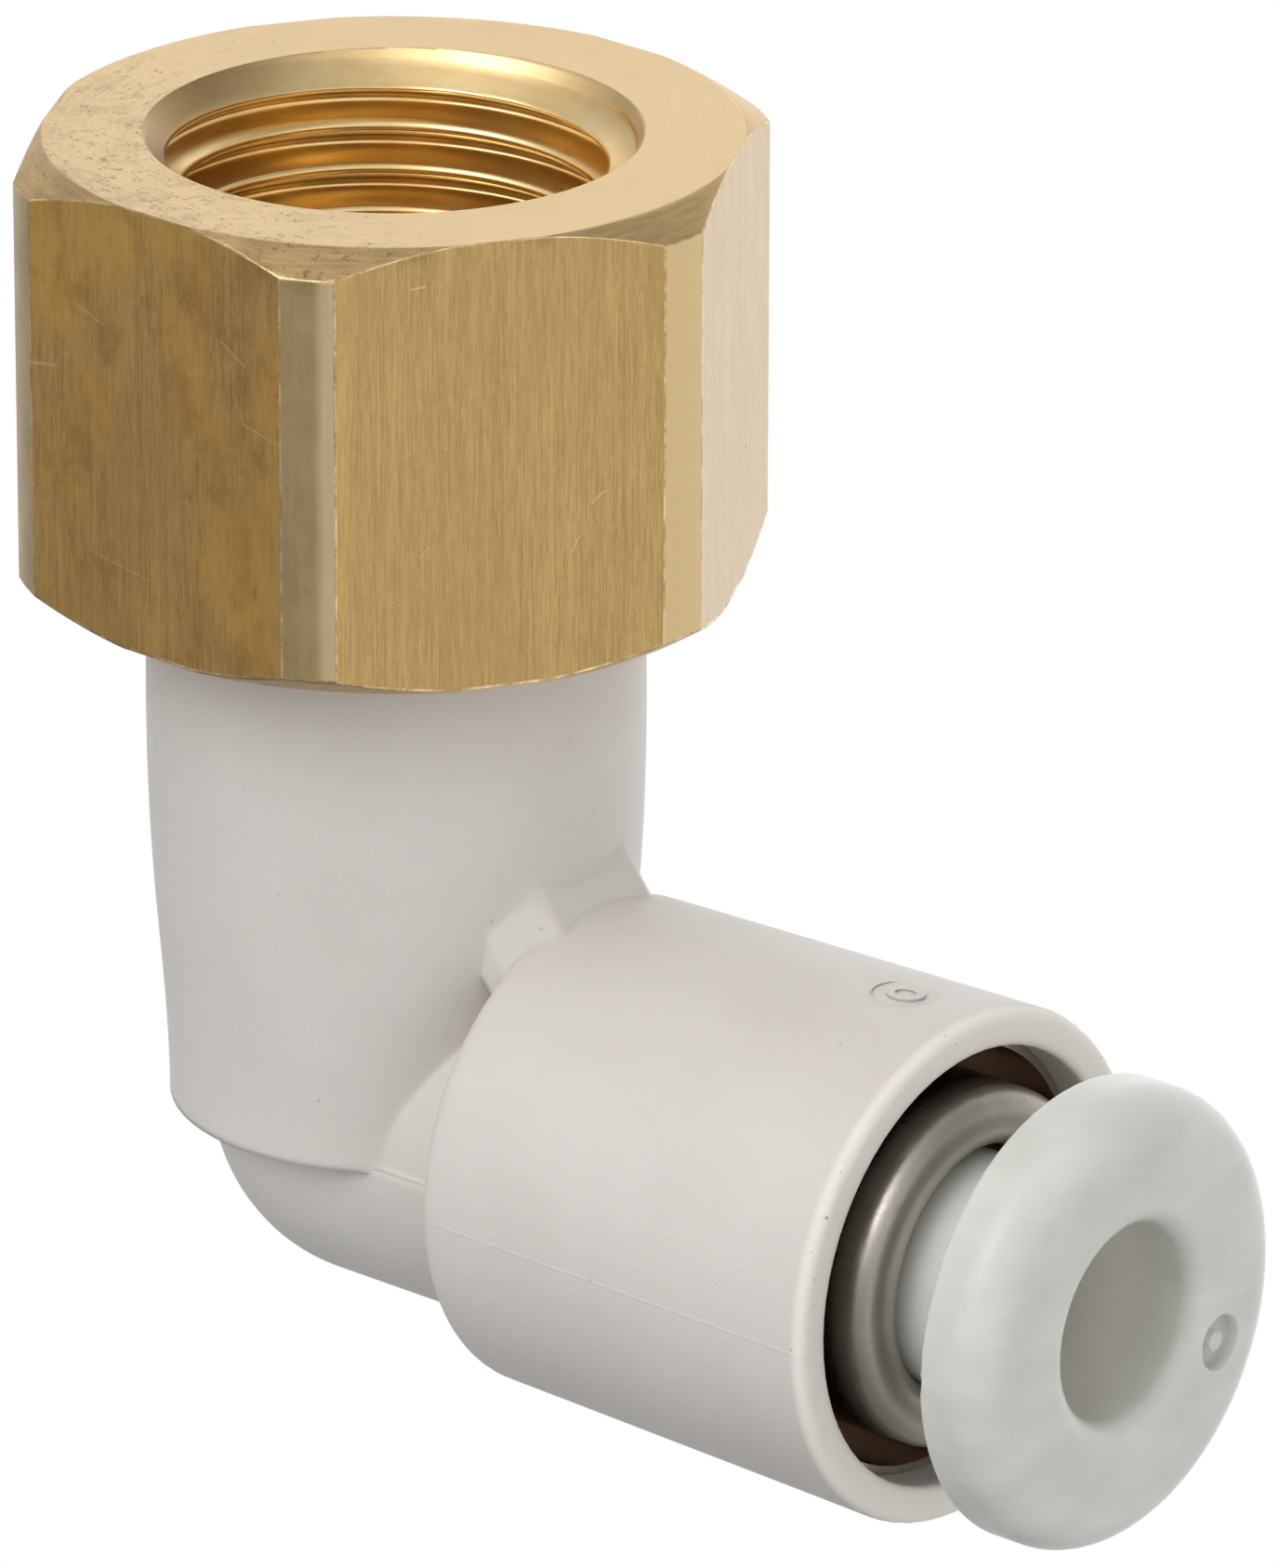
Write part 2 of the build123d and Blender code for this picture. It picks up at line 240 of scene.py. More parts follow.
arm_scuff = (  # on the arm's -Y side
    (9.38, -4.35, arm_axis_z - 3.08),
    (10.98, -4.22, arm_axis_z - 3.26),
    0.035,
)
right_way = (0.879, 0.477, 0.0)  # out of the flat that faces +X and a little +Y


def brass_drawn():
    """Flats of the hexagon: drawn bar, brushed along its length, tarnished and scratched."""
    s = Shade("brass_drawn", Metallic=1.0, Coat_Roughness=0.40, Coat_IOR=1.5)
    dull, fresh = (0.43, 0.275, 0.098, 1), (0.635, 0.43, 0.165, 1)
    warm_dull, warm_fresh = (0.50, 0.285, 0.08, 1), (0.82, 0.52, 0.20, 1)
    fine = s.noise(30, 4, 0.75, stretch=(1, 1, 0.025))
    coarse = s.noise(5, 3, 0.6, stretch=(1, 1, 0.02), shift=5)
    short = s.noise(14, 4, 0.75, stretch=(1, 1, 0.22), shift=11)
    streak = s.plus(s.times(fine, 0.55), s.times(coarse, 0.2))
    streak = s.plus(streak, s.times(short, 0.25))
    tone = s.blend(s.ramp(streak, 0.36, 0.64), dull, fresh)

    # Tarnish: warmer on the side that faces -Y, with yellow and brown patches and grime
    x, y, z = s.split(s.mm)
    facing = s.ramp(y, -6.2, -6.9)
    s.put(s.bsdf.inputs["Coat Weight"], s.ramp(facing, 0.0, 1.0, 0.40, 0.08))
    warm = s.blend(s.ramp(streak, 0.38, 0.62), warm_dull, warm_fresh)
    tone = s.blend(s.times(facing, 0.75), tone, warm)
    tan = s.ramp(s.noise(0.30, 4, 0.6, stretch=(1, 1, 0.6), shift=9), 0.40, 0.70)
    tone = s.blend(s.times(tan, 0.35), tone, (0.50, 0.30, 0.11, 1))
    yellow = s.ramp(s.noise(0.42, 4, 0.6, stretch=(1, 1, 0.6), shift=21), 0.44, 0.70)
    tone = s.blend(s.times(yellow, facing, 0.55), tone, (0.86, 0.52, 0.12, 1))
    brown = s.ramp(s.noise(0.8, 5, 0.7, stretch=(1, 1, 0.7), shift=31), 0.46, 0.68)
    tone = s.blend(s.times(brown, facing, 0.50), tone, (0.40, 0.21, 0.065, 1))
    grime = s.ramp(s.noise(2.4, 5, 0.8, stretch=(1, 1, 0.35), shift=51), 0.56, 0.72)
    tone = s.blend(s.times(grime, facing, 0.45), tone, (0.30, 0.16, 0.05, 1))
    # Painted sheen: the flat that right_way points out of is greyed toward silver
    painted_sheen = s.ramp(s.vector("DOT_PRODUCT", s.mm, right_way), 6.7, 6.95)
    tone = s.blend(s.times(painted_sheen, 0.30), tone, (0.55, 0.46, 0.39, 1))

    pale = s.most(*[s.scratch(*mark) for mark in flat_scratches])
    flecks = s.noise(3.2, 3, 0.7, stretch=(1, 1, 1.6), shift=41)
    pale = s.most(pale, s.ramp(flecks, 0.725, 0.75))
    tone = s.blend(s.times(pale, 0.55), tone, (0.85, 0.66, 0.38, 1))
    tone = s.blend(s.scratch(*flat_speck), tone, (0.10, 0.09, 0.08, 1))
    s.colour(tone)
    s.roughness(s.ramp(streak, 0.36, 0.64, 0.44, 0.36))
    s.bump(streak, 0.008)
    return s.material


def brass_corner():
    """Corner cuts of the hexagon: the bar's own smooth drawn skin, brighter towards +X."""
    s = Shade("brass_corner", Metallic=1.0, Coat_Weight=0.3, Coat_Roughness=0.4, Coat_IOR=1.5)
    fine = s.noise(12, 3, 0.6, stretch=(1, 1, 0.05))
    patch = s.noise(0.9, 3, 0.6, shift=3)
    tone = s.blend(s.ramp(patch, 0.3, 0.7), (0.55, 0.40, 0.185, 1), (0.66, 0.485, 0.235, 1))
    x, y, z = s.split(s.mm)
    tone = s.blend(s.ramp(x, 6.5, 7.4), tone, (0.80, 0.59, 0.30, 1))

    # A painted highlight on the half of the hexagon that right_way points to, but not at +X
    painted_highlight = s.times(
        s.ramp(s.vector("DOT_PRODUCT", s.mm, right_way), 0.10, 0.36),
        s.ramp(x, 6.0, 5.5),
    )
    tone = s.blend(s.times(painted_highlight, 0.8), tone, (0.98, 0.78, 0.46, 1))
    spots = s.noise(5, 3, 0.65, shift=14)
    tone = s.blend(s.ramp(spots, 0.70, 0.80, 0.0, 0.6), tone, (0.36, 0.25, 0.13, 1))
    s.colour(tone)
    s.roughness(s.ramp(fine, 0.3, 0.7, 0.30, 0.38))
    s.bump(fine, 0.002)
    return s.material


def brass_edge():
    """Worn corners and burred rims, bright where the tarnish has worn off."""
    s = Shade("brass_edge", Metallic=1.0)
    wear = s.noise(1.6, 5, 0.75, shift=6)
    s.colour(s.blend(s.ramp(wear, 0.36, 0.66), (0.48, 0.33, 0.15, 1), (0.96, 0.76, 0.46, 1)))
    s.roughness(s.ramp(wear, 0.4, 0.6, 0.42, 0.28))
    s.bump(s.noise(9, 3, 0.7), 0.012)
    return s.material


def turned_shading(s, low, high, dark, dark_share):
    """Lathe rings, and dark pits and smudges mostly on the side that faces -X and -Y."""
    x, y, z = s.split(s.mm)
    lathe = s.join(s.times(s.length(x, y, 0.0), 8.0), s.times(s.math("ARCTAN2", y, x), 5.0), z)
    rings = s.noise(1.4, 4, 0.65, at=lathe)
    tone = s.blend(s.ramp(rings, 0.3, 0.7), low, high)
    cloud = s.ramp(s.noise(0.6, 3, 0.6, shift=17), 0.45, 0.7)
    tone = s.blend(s.times(cloud, 0.35), tone, (0.66, 0.48, 0.26, 1))

    toward = s.vector("DOT_PRODUCT", s.mm, (-0.45, -0.89, 0.0))
    level = s.minus(0.70, s.ramp(toward, -3.0, 5.0, 0.0, 0.13))
    marks = s.minus(s.noise(1.6, 5, 0.78, at=lathe, stretch=(1, 0.9, 1), shift=4), level)
    spots = s.minus(s.noise(5.0, 5, 0.8, shift=8), level)
    pits = s.most(s.times(s.ramp(marks, 0.0, 0.06), 0.45), s.ramp(spots, 0.0, 0.05))
    smudge = s.ramp(s.noise(1.1, 5, 0.7, shift=27), 0.45, 0.65)
    smudge = s.times(smudge, s.ramp(toward, 1.0, 6.0), 0.35)
    tone = s.blend(smudge, tone, (0.40, 0.28, 0.15, 1))
    s.colour(s.blend(s.times(pits, dark_share), tone, dark))
    s.roughness(s.ramp(rings, 0.3, 0.7, 0.36, 0.50))
    s.bump(s.minus(rings, s.times(pits, 0.8)), 0.007)


def brass_turned():
    """End faces, turned on a lathe, with pits and short marks."""
    s = Shade("brass_turned", Metallic=1.0)
    turned_shading(s, (0.69, 0.495, 0.25, 1), (0.82, 0.62, 0.35, 1), (0.26, 0.155, 0.08, 1), 0.75)
    return s.material


def brass_chamfer():
    """Chamfers at the corners, from an older tool pass and left browner."""
    s = Shade("brass_chamfer", Metallic=1.0)
    turned_shading(s, (0.50, 0.34, 0.155, 1), (0.67, 0.47, 0.23, 1), (0.22, 0.13, 0.06, 1), 0.6)
    return s.material


def brass_bore():
    """The port: a smooth countersink with painted shade on two sides, over a bright, warm thread.
    """
    s = Shade("brass_bore", Metallic=1.0)
    haze = s.ramp(s.noise(0.8, 4, 0.6, stretch=(1, 1, 2.5)), 0.3, 0.7)
    sink = s.blend(haze, (0.88, 0.63, 0.29, 1), (0.98, 0.73, 0.38, 1))
    # Painted shade: the countersink is darkened on its side towards -X and -Y, and less on its side
    # towards +X and +Y
    shaded_near_side = s.vector("DOT_PRODUCT", s.mm, (-0.80, -0.60, 0.0))
    sink = s.blend(s.ramp(shaded_near_side, 1.6, 4.4, 0.0, 0.85), sink, (0.30, 0.185, 0.075, 1))
    shaded_far_side = s.vector("DOT_PRODUCT", s.mm, (0.86, 0.50, 0.0))
    sink = s.blend(s.ramp(shaded_far_side, 2.2, 4.6, 0.0, 0.65), sink, (0.46, 0.31, 0.13, 1))
    thread = s.blend(haze, (0.93, 0.66, 0.30, 1), (1.0, 0.78, 0.42, 1))
    x, y, z = s.split(s.mm)
    s.colour(s.blend(s.ramp(z, port_face - 0.35, port_face - 0.75), sink, thread))
    s.roughness(s.ramp(z, port_face - 0.75, port_face - 0.45, 0.22, 0.36))
    return s.material


def body_plastic():
    """Warm light grey moulding with a fine matt texture, a parting line, specks and scuffs."""
    s = Shade(
        "body_plastic",
        Subsurface_Weight=0.12,
        Subsurface_Scale=0.4 * MM,
        Specular_IOR_Level=0.4,
    )
    x, y, z = s.split(s.mm)
    grain = s.noise(11, 3, 0.7)
    cloud = s.noise(0.35, 3, 0.5, shift=2)
    tone = s.blend(s.ramp(cloud, 0.3, 0.7), (0.690, 0.655, 0.617, 1), (0.712, 0.682, 0.645, 1))

    # A soft painted shade, warm grey, on the socket under the hexagon
    under_hex_shade = s.ramp(z, arm_axis_z + 7.6, arm_axis_z + 10.6)
    tone = s.blend(s.times(under_hex_shade, 0.30), tone, (0.60, 0.54, 0.46, 1))
    tone = s.blend(s.times(s.scratch(*arm_scuff), 0.4), tone, (0.45, 0.47, 0.55, 1))

    # Parting line: a faint ridge along the arm, just under the height of its axis
    from_line = s.math("ABSOLUTE", s.minus(z, arm_axis_z - 0.13))
    ridge = s.times(s.ramp(from_line, 0.06, 0.0), s.ramp(x, 5.2, 5.6))
    tone = s.blend(s.times(ridge, 0.20), tone, (0.80, 0.77, 0.73, 1))

    # The mouth's rim is paler, a painted highlight, and its outer edge is nicked; a few specks lie
    # all over
    # Painted highlight: the last part of the arm towards the mouth is made paler
    rim = s.ramp(x, arm_mouth_x - 0.30, arm_mouth_x - 0.06)
    tone = s.blend(s.times(rim, 0.85), tone, (0.93, 0.895, 0.83, 1))
    from_axis = s.length(0.0, y, s.minus(z, arm_axis_z))
    edge = s.times(s.ramp(x, arm_mouth_x - 0.5, arm_mouth_x - 0.05), s.ramp(from_axis, 4.9, 5.1))
    nicks = s.times(edge, s.ramp(s.noise(4.5, 3, 0.7, shift=12), 0.66, 0.70), 0.8)
    specks = s.ramp(s.from_cell(0.9), 0.05, 0.01, 0.0, 0.45)
    tone = s.blend(s.most(specks, nicks), tone, (0.33, 0.29, 0.24, 1))
    s.colour(tone)
    s.roughness(s.ramp(grain, 0.3, 0.7, 0.42, 0.55))

    # Creases are softened, and those of the web between socket and arm more so
    crease = s.add("ShaderNodeBevel", samples=8)
    in_web = s.times(s.ramp(z, arm_axis_z + 5.3, arm_axis_z + 5.6), s.ramp(x, 8.0, 7.5))
    s.put(crease.inputs["Radius"], s.ramp(in_web, 0.0, 1.0, 0.25 * MM, 0.65 * MM))
    ridged = s.bump(ridge, 0.006, after=crease.outputs[0])
    s.bump(grain, 0.012, after=ridged)
    return s.material


def button_plastic():
    """Pale cool grey moulding, smooth and faintly clouded, with painted light making its sleeve and
    its bore paler.
    """
    s = Shade(
        "button_plastic",
        Subsurface_Weight=0.6,
        Subsurface_Scale=0.9 * MM,
        Specular_IOR_Level=0.5,
    )
    s.bsdf.inputs["Subsurface Radius"].default_value = (1.0, 0.95, 0.85)
    x, y, z = s.split(s.mm)
    cloud = s.noise(0.5, 2, 0.5, stretch=(1, 1, 2), shift=7)
    tone = s.blend(s.ramp(cloud, 0.35, 0.7), (0.655, 0.660, 0.625, 1), (0.715, 0.72, 0.685, 1))
    from_axis = s.length(0.0, y, s.minus(z, button_axis_z))
    # Painted light: the bore is paler deeper in, where it lies in shade
    bore = s.times(s.ramp(from_axis, 2.4, 2.1), s.ramp(x, 19.1, 17.6, 0.0, 0.85))
    tone = s.blend(bore, tone, (0.80, 0.785, 0.72, 1))
    # Painted light: the sleeve behind the flange is paler, where the flange shades it
    behind_flange = s.ramp(x, arm_mouth_x + 2.45, arm_mouth_x + 2.3)
    sleeve = s.times(s.ramp(from_axis, 2.15, 2.35), behind_flange, 0.6)
    tone = s.blend(sleeve, tone, (0.86, 0.865, 0.83, 1))
    s.colour(tone)
    s.roughness(s.ramp(cloud, 0.3, 0.7, 0.30, 0.34))
    s.bump(s.noise(11, 3, 0.7), 0.005)
    return s.material


def satin_steel():
    """Plated guide: satin on its rolled lip, with painted shade towards the axis and down in the
    mouth.
    """
    s = Shade("satin_steel", Metallic=1.0)
    x, y, z = s.split(s.mm)
    grain = s.noise(9, 4, 0.7)
    haze = s.noise(0.8, 3, 0.5, shift=3)
    tone = s.blend(s.ramp(haze, 0.3, 0.7), (0.56, 0.53, 0.475, 1), (0.68, 0.65, 0.60, 1))
    from_axis = s.length(0.0, y, s.minus(z, arm_axis_z))
    # Painted shade: darker towards the axis, on the inner side of the roll
    tone = s.blend(s.ramp(from_axis, 4.0, 3.5, 0.0, 0.75), tone, (0.36, 0.33, 0.285, 1))
    lip = s.ramp(x, guide_high.x - 1.3, guide_high.x - 0.9)
    worn = s.times(s.ramp(grain, 0.35, 0.65, 0.0, 0.25), lip)
    tone = s.blend(worn, tone, (0.36, 0.32, 0.29, 1))
    # Painted shade down in the mouth
    deep_shade = s.ramp(x, guide_high.x - 1.0, guide_high.x - 1.7)
    s.colour(s.blend(deep_shade, tone, (0.46, 0.37, 0.30, 1)))
    s.roughness(s.plus(s.times(s.ramp(grain, 0.3, 0.7, 0.08, 0.18), lip), 0.20))
    s.bump(s.times(grain, lip), 0.005)
    return s.material


def plain_finish(name, scale, low, high, roughness, depth, **sockets):
    """A hidden piece's finish: two tones and two roughnesses, mixed by one fine grain."""
    s = Shade(name, **sockets)
    grain = s.noise(scale, 3, 0.6)
    s.colour(s.blend(s.ramp(grain, 0.3, 0.7), (*low, 1), (*high, 1)))
    s.roughness(s.ramp(grain, 0.3, 0.7, *roughness))
    s.bump(grain, depth)
    return s.material


def spring_steel():
    tones = (0.42, 0.41, 0.40), (0.52, 0.51, 0.50)
    return plain_finish("spring_steel", 10, *tones, (0.25, 0.35), 0.002, Metallic=1.0)


def rubber():
    tones = (0.018, 0.018, 0.018), (0.03, 0.03, 0.03)
    return plain_finish("rubber", 12, *tones, (0.5, 0.65), 0.004, Specular_IOR_Level=0.35)


def collet_plastic():
    tones = (0.07, 0.07, 0.068), (0.09, 0.09, 0.088)
    return plain_finish("collet_plastic", 8, *tones, (0.4, 0.5), 0.003)


# ---------------------------------------------------------------- the brass adapter
across_flats = 14.0
across_corner_cuts = 15.58
corner_bulge = 0.027  # the corner cuts are very slightly round
hex_turn = -1.5  # degrees
hex_height = 9.36
hex_base = port_face - hex_height
chamfer_radius = across_flats / 2 + 0.06
corner_drop = 0.47
chamfer_slope = corner_drop / (across_corner_cuts / 2 - chamfer_radius)
outline_step = 0.09
worn_edge = 0.024  # width of the worn strip between a flat and a corner cut

thread_pitch = 25.4 / 28
thread_radius = 4.283
thread_depth = 0.640327 * thread_pitch
thread_round = 0.137329 * thread_pitch
thread_flank = math.radians(27.5)
thread_length = 7.0
taper = 1 / 32  # a taper thread loses this much radius per length
thread_top_crest = 1.45  # below the port face, at the azimuth given next
thread_azimuth = math.radians(130)

countersink_radius = 5.04
countersink_depth = 0.70
lip_slope = 0.7  # the lip's radius lost per depth
lip_width = 0.10
lip_lean = 0.12  # how much wider the lip is on one side
lip_azimuth = math.radians(60)

drill_depth = 8.2  # from the port face to the corner of the drill's cone
drill_rise = 1.5
drill_step = 0.3  # how much smaller the drill is than the thread's last root
drill_radius = thread_radius + thread_depth - taper * thread_length - drill_step

stem_radius = 3.5
stem_bore_radius = 1.7
barb_radius = 3.97
ring_groove_radius = 2.6
stem_heights_up = (  # (radius, height above the arm's axis) down the stem
    (stem_radius, 11.15),
    (stem_radius, 9.1),
    (barb_radius, 9.1),
    (barb_radius, 8.7),
    (stem_radius, 7.9),
    (stem_radius, 6.25),
    (ring_groove_radius, 6.25),
    (ring_groove_radius, 5.05),
    (stem_radius, 5.05),
    (stem_radius, 3.7),
    (stem_radius - 0.3, 3.4),
    (stem_bore_radius, 3.4),
)

burrs = (  # (azimuth in degrees, half width in millimetres, size) of lumps on the top rim
    (-44.3, 0.22, 0.10),
    (-47.0, 0.10, 0.05),
    (-24.1, 0.20, 0.07),
    (-27.0, 0.12, 0.04),
    (-60.9, 0.30, 0.05),
    (-70.0, 0.35, 0.04),
    (-38.0, 0.15, 0.03),
)


def hex_outline():
    """Points round the bar's section: (x, y, whether on a corner cut, whether at its very edge)."""
    flat_distance = across_flats / 2
    cut_distance = across_corner_cuts / 2 - corner_bulge
    corner = math.radians(30)
    half_flat = (cut_distance - flat_distance * math.cos(corner)) / math.sin(corner)
    half_cut = (flat_distance * math.tan(corner) - half_flat) * math.cos(corner)
    points = []
    for side in range(12):
        on_cut = side % 2 == 0
        distance = cut_distance if on_cut else flat_distance
        half = half_cut if on_cut else half_flat
        turn = math.radians(hex_turn + side * 30)
        normal = np.array((math.cos(turn), math.sin(turn)))
        along = np.array((-normal[1], normal[0]))
        count = max(2, round(2 * half / outline_step))
        inner = half - 2 * worn_edge
        offsets = [-half + worn_edge * 0.3, -half + worn_edge]
        offsets += list(np.linspace(-inner, inner, count))
        offsets += [half - worn_edge, half - worn_edge * 0.3]
        for offset in offsets:
            bulge = corner_bulge * (1 - (offset / half) ** 2) if on_cut else 0.0
            x, y = normal * (distance + bulge) + along * offset
            points.append((x, y, on_cut, half - abs(offset) < worn_edge / 2))
    start = min(range(len(points)), key=lambda i: math.atan2(points[i][1], points[i][0]))
    return points[start:] + points[:start]


def whitworth_rows(flank_steps=2, arc_steps=6):
    """One pitch of a rounded 55 degree thread: (fall in z, growth in radius) from a crest."""
    opening = math.pi / 2 - thread_flank
    arc = []
    for step in range(arc_steps):
        turn = -opening + 2 * opening * step / arc_steps
        arc.append((thread_round * math.sin(turn), thread_round * (1 - math.cos(turn))))
    flank_start = thread_round * math.sin(opening)
    flank_fall = thread_pitch / 2 - 2 * flank_start
    flank_low = thread_round * (1 - math.cos(opening))
    flank_growth = thread_depth - 2 * flank_low
    flank = []
    for step in range(flank_steps):
        share = step / flank_steps
        flank.append((flank_start + share * flank_fall, flank_low + share * flank_growth))
    crest_half = arc + flank
    root_half = [(thread_pitch / 2 + fall, thread_depth - growth) for fall, growth in crest_half]
    return crest_half + root_half


def countersink_at(z, turn):
    """Radius of the countersink at height z: a steep lip, wider on one side, then a cone."""
    depth = port_face - z
    width = max(0.0, lip_width + lip_lean * math.cos(turn - lip_azimuth))
    lip_depth = width / lip_slope
    if depth < lip_depth:
        return countersink_radius - lip_slope * depth
    cone_top = countersink_radius - width
    share = (depth - lip_depth) / (countersink_depth - lip_depth)
    return cone_top + (thread_radius - cone_top) * share


def outside_rows(outline):
    """Rows down the adapter's outside and up its bore: (kind, a (radius, z) for each point)."""
    radii = [math.hypot(x, y) for x, y, on_cut, at_edge in outline]
    face_steps = (0, 0.01, 0.03, 0.1, 0.25, 0.4, 0.55, 0.7, 0.85, 0.95, 0.985, 1)
    chamfer_steps = (0.04, 0.12, 0.3, 0.5, 0.7, 0.88, 0.96, 1)
    upper_steps = (0.003, 0.007, 0.015, 0.04, 0.1, 0.2, 0.3, 0.4)
    side_steps = (*upper_steps, 0.5, *(1 - step for step in reversed(upper_steps)), 1)
    line_steps = (0.03, 0.5, 0.97, 1)
    rows = []

    def chamfered(radius, face, inward):
        """Height of the chamfered end at a radius. Inward is 1 for the top, -1 for the bottom."""
        return face - inward * max(0.0, chamfer_slope * (radius - chamfer_radius))

    def face_rows(steps, inner, face):
        for step in steps:
            places = [(inner + step * (min(r, chamfer_radius) - inner), face) for r in radii]
            rows.append(("turned", places))

    def chamfer_rows(steps, face, inward):
        for step in steps:
            reach = [min(r, chamfer_radius) + step * max(0.0, r - chamfer_radius) for r in radii]
            rows.append(("chamfer", [(r, chamfered(r, face, inward)) for r in reach]))

    face_rows(face_steps, countersink_radius, port_face)
    chamfer_rows(chamfer_steps, port_face, 1)
    for step in side_steps:
        places = []
        for r in radii:
            top, bottom = chamfered(r, port_face, 1), chamfered(r, hex_base, -1)
            places.append((r, top + step * (bottom - top)))
        rows.append(("side", places))
    chamfer_rows(reversed(chamfer_steps[:-1]), hex_base, -1)
    face_rows(reversed(face_steps), stem_radius, hex_base)

    profile = [(radius, arm_axis_z + height) for radius, height in stem_heights_up]
    profile.append((stem_bore_radius, port_face - drill_depth - drill_rise))
    profile.append((drill_radius, port_face - drill_depth))
    for (last_radius, last_z), (radius, z) in zip(profile, profile[1:]):
        kind = "bore" if radius == drill_radius else "stem"
        for step in line_steps:
            place = (last_radius + step * (radius - last_radius), last_z + step * (z - last_z))
            rows.append((kind, [place] * len(radii)))
    return rows


def soften(points, rows, rounds=2, share=0.5):
    """Rounds the edges along the given rows by averaging each with its two neighbours."""
    for _ in range(rounds):
        before = points.copy()
        for i in rows:
            if 0 < i < len(points) - 1:
                middle = (before[i - 1] + before[i + 1]) / 2
                points[i] = before[i] * (1 - share) + middle * share


def roughen(points, kinds, turns):
    """Makes the rims of the flats uneven, with a few burrs that the turning left at the top."""
    waves = 2.2  # of the unevenness, in a millimetre
    rim_jitter = np.array((0.008, 0.008, 0.012))  # millimetres along X, Y and Z
    burr_lift = np.array((0.5, 0.5, 0.35))  # shares of a burr's size along X, Y and Z
    edges = [i for i in range(1, len(kinds)) if {kinds[i], kinds[i - 1]} == {"side", "chamfer"}]
    for edge in edges:
        for j, turn in enumerate(turns):
            swell = 0.0
            if edge == edges[0]:
                for azimuth, half_width, size in burrs:
                    away = (turn - math.radians(azimuth)) * across_flats / 2 / half_width
                    swell += size * math.exp(-away * away)
            jitter = noise.fractal(Vector(points[edge][j]) * waves, 1.0, 2.0, 4)
            out_and_up = np.array((math.cos(turn), math.sin(turn), 1))
            for i in range(edge - 2, edge + 3):
                share = math.exp(-((i - edge) ** 2) / 2)
                points[i, j] += out_and_up * share * (rim_jitter * jitter + burr_lift * swell)


def thread_columns(turns, pitches_above, rows_per_column, pitch_rows):
    """The port's wall, column by column: rows follow the helix, held flat at the port's ends."""
    bottom_z = port_face - drill_depth
    runout_z = port_face - countersink_depth - thread_length
    places = []
    for turn in turns:
        climb = thread_pitch * (turn - thread_azimuth) / (2 * math.pi)
        first_crest = port_face - thread_top_crest + pitches_above * thread_pitch + climb
        for k in range(rows_per_column):
            fall, growth = pitch_rows[k % len(pitch_rows)]
            z = first_crest - thread_pitch * (k // len(pitch_rows)) - fall
            z = min(port_face, max(bottom_z, z))
            radius = thread_radius + growth - taper * (port_face - countersink_depth - z)
            if z < runout_z:
                share = (runout_z - z) / (runout_z - bottom_z)
                radius += (drill_radius - radius) * min(1, share * 2)
            radius = max(radius, countersink_at(z, turn))
            if z == port_face:
                radius = countersink_radius
            places.append((radius * math.cos(turn), radius * math.sin(turn), z))
    return places


def build_adapter(materials):
    outline = hex_outline()
    columns = len(outline)
    turns = [math.atan2(y, x) for x, y, on_cut, at_edge in outline]
    rows = outside_rows(outline)
    kinds = [kind for kind, places in rows]
    points = np.array(
        [
            [(r * math.cos(turn), r * math.sin(turn), z) for (r, z), turn in zip(places, turns)]
            for kind, places in rows
        ]
    )
    changes = [i for i in range(1, len(kinds)) if kinds[i] != kinds[i - 1]]
    soften(points, sorted({i + step for i in changes for step in (-2, -1, 0, 1)}))
    roughen(points, kinds, turns)
    vertices = list(points.reshape(-1, 3))
    names = list(materials)
    faces, slots = [], []

    def slot_of(row, column, following):
        """Material slot of the face that ends at the row, between two columns."""
        kind = kinds[row]
        if kind == "side":
            at_rim = "chamfer" in (kinds[row - 1], kinds[row + 2])
            at_edge = outline[column][3] or outline[following][3]
            if at_rim or at_edge:
                kind = "edge"
            else:
                kind = "corner" if outline[column][2] else "drawn"
        return names.index(kind if kind in names else "bore")

    for i in range(len(points) - 1):
        for j in range(columns):
            k = (j + 1) % columns
            low, high = i * columns, (i + 1) * columns
            faces.append((low + j, low + k, high + k, high + j))
            slots.append(slot_of(i + 1, j, k))

    # The helix climbs a pitch in one turn, so the last column joins the first one's rows a pitch up
    pitch_rows = whitworth_rows()
    pitches_above = 3
    pitches = math.ceil(drill_depth / thread_pitch) + pitches_above + 2
    per_column = len(pitch_rows) * pitches
    base = len(vertices)
    vertices += thread_columns(turns, pitches_above, per_column, pitch_rows)
    for j in range(columns):
        k = (j + 1) % columns
        shift = len(pitch_rows) if k == 0 else 0
        here = base + j * per_column
        there = base + k * per_column - shift
        for i in range(shift, per_column - 1):
            faces.append((here + i, here + i + 1, there + i + 1, there + i))
            slots.append(names.index("bore"))

    mesh = bpy.data.meshes.new("brass_adapter")
    mesh.from_pydata([[value * MM for value in vertex] for vertex in vertices], [], faces)
    for material in materials.values():
        mesh.materials.append(material)
    mesh.polygons.foreach_set("material_index", slots)
    mesh.update()
    weld = 1e-7
    bm = bmesh.new()
    bm.from_mesh(mesh)
    bmesh.ops.remove_doubles(bm, verts=bm.verts, dist=weld)
    bmesh.ops.dissolve_degenerate(bm, edges=bm.edges, dist=weld)
    bmesh.ops.recalc_face_normals(bm, faces=bm.faces)
    for face in bm.faces:
        face.smooth = True
    bm.to_mesh(mesh)
    bm.free()
    obj = bpy.data.objects.new("brass_adapter", mesh)
    bpy.context.scene.collection.objects.link(obj)
    return obj


brasses = {
    "drawn": brass_drawn(),
    "corner": brass_corner(),
    "edge": brass_edge(),
    "turned": brass_turned(),
    "chamfer": brass_chamfer(),
    "bore": brass_bore(),
}
adapter = build_adapter(brasses)
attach(adapter, "adapter")
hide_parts("hex_adapter")

